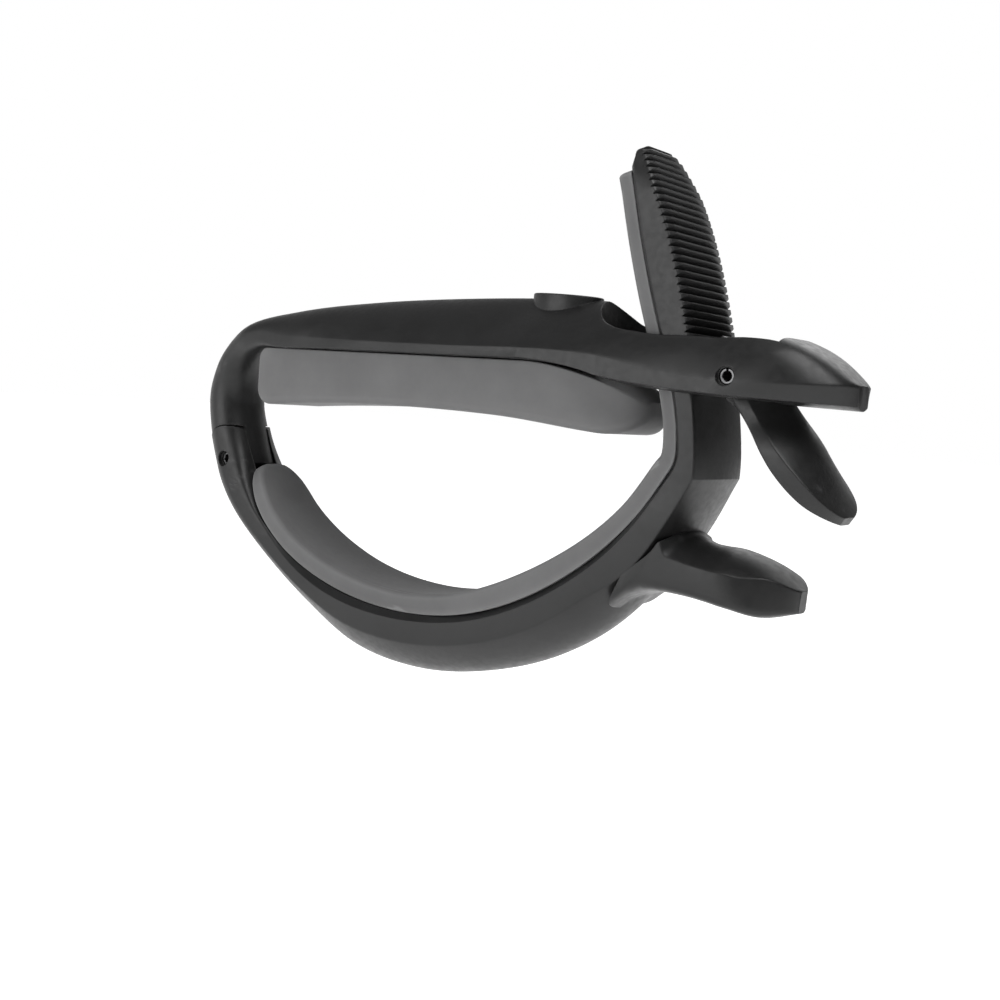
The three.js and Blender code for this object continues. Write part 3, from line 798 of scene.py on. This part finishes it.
# The release lever. A black nylon trigger in the back of the slot: a hub on its pin, a nose with
# two teeth that holds the arm, and a leaf-shaped finger plate that hangs down behind the arm.
HUB_R = 3.1
HUB_HALF = 2.4
NOSE_R = 71.65
NOSE_FIRST = 13.1
COIL_R = 1.75
POCKET_FLOOR = 3.25
lever_under = curve([(37, 5.6), (38.9, 2.8), (41.6, -0.4), (44.1, -3.7), (47, -6.5), (49.9, -8.3)])
lever_over = curve([(41.6, 5.4), (44, 2.6), (46.1, 0.1), (47.8, -2.7), (49.3, -5.5), (50.4, -7.5)])
lever_half = smooth([(0, 4.1), (0.25, 4.4), (0.5, 5.6)])
lever_brow = smooth([(0, 0.5), (0.3, 0.4), (1, 0.9)])


def lever_rings():
    """The finger plate's sections, from under the pin to the tip."""
    rings = []
    for share in np.sin(np.linspace(0, math.pi / 2, 70)):
        low, high = lever_under(share), lever_over(share)
        half = lever_half(share) * max(rounded(share, 0.55, 1.01), 0.2)
        tall = np.linalg.norm(high - low)
        side = half_section(tall, half, 0.14 * tall, lever_brow(share) * tall)
        rings.append(ring(low, high, side))
    return rings


def nose_outline():
    """The nose in side view: a block above the pin that ends in two teeth facing the arm."""
    outline = [PIVOT + (1, 2.6), PIVOT + (-1, -1)]
    for i in range(2):
        outline.append(polar(NOSE_R + 0.7, NOSE_FIRST + i * TOOTH_STEP))
        outline.append(polar(NOSE_R, NOSE_FIRST + (i + 0.7) * TOOTH_STEP))
    outline.append(polar(NOSE_R + 1.2, NOSE_FIRST + 2.3 * TOOTH_STEP))
    return outline


lever = skin("lever_moulding", lever_rings())
carve(lever, slab("tool", [(30, 4.9), (60, 4.9), (60, 20), (30, 20)], 9))
carve(lever, slab("tool", disc(PIVOT, HUB_R, 72), HUB_HALF), "UNION")
carve(lever, slab("tool", nose_outline(), HUB_HALF - 0.01), "UNION")
carve(lever, slab("tool", disc(PIVOT, COIL_R + 0.6), 2, HUB_HALF + 2.1))
leg_pocket = [(PIVOT[0], POCKET_FLOOR), (PIVOT[0] + 3.8, POCKET_FLOOR),
              (PIVOT[0] + 3.8, PIVOT[1]), (PIVOT[0], PIVOT[1])]
carve(lever, slab("tool", leg_pocket, 1.75, HUB_HALF + 1.85))
pin_hole(lever, PIVOT)
finish_shell(lever, NYLON)
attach(lever, "lever")
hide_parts("release_lever")


# The lever's spring. Two turns of half-millimetre spring wire round the pin beside the hub, with
# one leg pressing on the lever, which keeps the nose in the teeth.
WIRE_R = 0.25
WIRE_SIDES = 14
TURNS = 2.05
LEG_REACH = 3.2


def drawn_steel():
    """Dark drawn spring steel, with the fine lengthwise lines of the die."""
    made = bpy.data.materials.new("drawn_steel")
    made.use_nodes = True
    nodes, links = made.node_tree.nodes, made.node_tree.links
    shader = nodes["Principled BSDF"]
    shader.inputs["Metallic"].default_value = 1
    place = nodes.new("ShaderNodeTexCoord")
    stretch = nodes.new("ShaderNodeMapping")
    stretch.inputs["Scale"].default_value = (6000, 300, 6000)
    lines = nodes.new("ShaderNodeTexNoise")
    lines.inputs["Scale"].default_value = 1
    lines.inputs["Detail"].default_value = 3
    links.new(place.outputs["Object"], stretch.inputs["Vector"])
    links.new(stretch.outputs["Vector"], lines.inputs["Vector"])
    tone = nodes.new("ShaderNodeValToRGB")
    tone.color_ramp.elements[0].color = (0.09, 0.09, 0.092, 1)
    tone.color_ramp.elements[1].color = (0.2, 0.2, 0.204, 1)
    links.new(lines.outputs["Fac"], tone.inputs["Fac"])
    links.new(tone.outputs["Color"], shader.inputs["Base Color"])
    dull = nodes.new("ShaderNodeMapRange")
    dull.inputs["To Min"].default_value = 0.28
    dull.inputs["To Max"].default_value = 0.45
    links.new(lines.outputs["Fac"], dull.inputs["Value"])
    links.new(dull.outputs["Result"], shader.inputs["Roughness"])
    return made


STEEL = drawn_steel()


def spring_rings():
    """Rings round the wire, from the end of the leg along it and round the coil."""
    start = HUB_HALF + 0.35 + WIRE_R
    line = [np.array((PIVOT[0] + LEG_REACH - 0.2 * i, start, PIVOT[1] - COIL_R)) for i in range(16)]
    for a in np.linspace(0, TURNS * 2 * math.pi, 120):
        y = start + (2 * WIRE_R + 0.05) * a / (2 * math.pi)
        line.append(np.array((PIVOT[0] - COIL_R * math.sin(a), y, PIVOT[1] - COIL_R * math.cos(a))))
    rings = []
    for i, middle in enumerate(line):
        run = line[min(i + 1, len(line) - 1)] - line[max(i - 1, 0)]
        run /= np.linalg.norm(run)
        out = np.cross(run, (0, 1, 0))
        out /= np.linalg.norm(out)
        over = np.cross(out, run)
        turn = np.linspace(0, 2 * math.pi, WIRE_SIDES, endpoint=False)[:, None]
        rings.append(middle + WIRE_R * (np.cos(turn) * out + np.sin(turn) * over))
    return rings


spring = skin("spring_wire", spring_rings())
finish_shell(spring, STEEL, 50)
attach(spring, "bar")
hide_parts("lever_spring")


# The two pins. Rolled spring-steel pins, open along one side so that they grip their holes: one
# through the bar for the lever, one through the cheeks and the tongue for the jaw.
PIN_WALL = 0.3
PIN_SLIT = 0.35
END_BREAK = 0.07
END_BREAK_LONG = 0.09
JAW_PIN_HALF = 3.5


def rolled_pin(name, centre, half, slit):
    """A rolled pin along Y with its slit towards the angle slit and its ends broken."""
    gap = math.asin(PIN_SLIT / 2 / PIN_R)
    sweep = np.linspace(slit + gap, slit - gap + 2 * math.pi, 56)
    shoulder = half - END_BREAK_LONG
    rings = []
    for y, broken in [(-half, END_BREAK), (-shoulder, 0), (shoulder, 0), (half, END_BREAK)]:
        outside, inside = PIN_R - broken, PIN_R - PIN_WALL + broken
        outer = np.column_stack([outside * np.cos(sweep), outside * np.sin(sweep)])
        inner = np.column_stack([inside * np.cos(sweep), inside * np.sin(sweep)])[::-1]
        loop = np.vstack([outer, inner]) + centre
        rings.append(np.column_stack([loop[:, 0], np.full(len(loop), y), loop[:, 1]]))
    pin = skin(name, rings)
    finish_shell(pin, STEEL, 30)
    return pin


lever_pin = rolled_pin("lever_roll_pin", PIVOT, BAR_HALF - 0.7, math.pi / 2)
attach(lever_pin, "bar")
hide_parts("pivot_pin")

jaw_pin = rolled_pin("jaw_roll_pin", HINGE, JAW_PIN_HALF, 0)
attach(jaw_pin, "jaw")
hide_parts("hinge_pin")
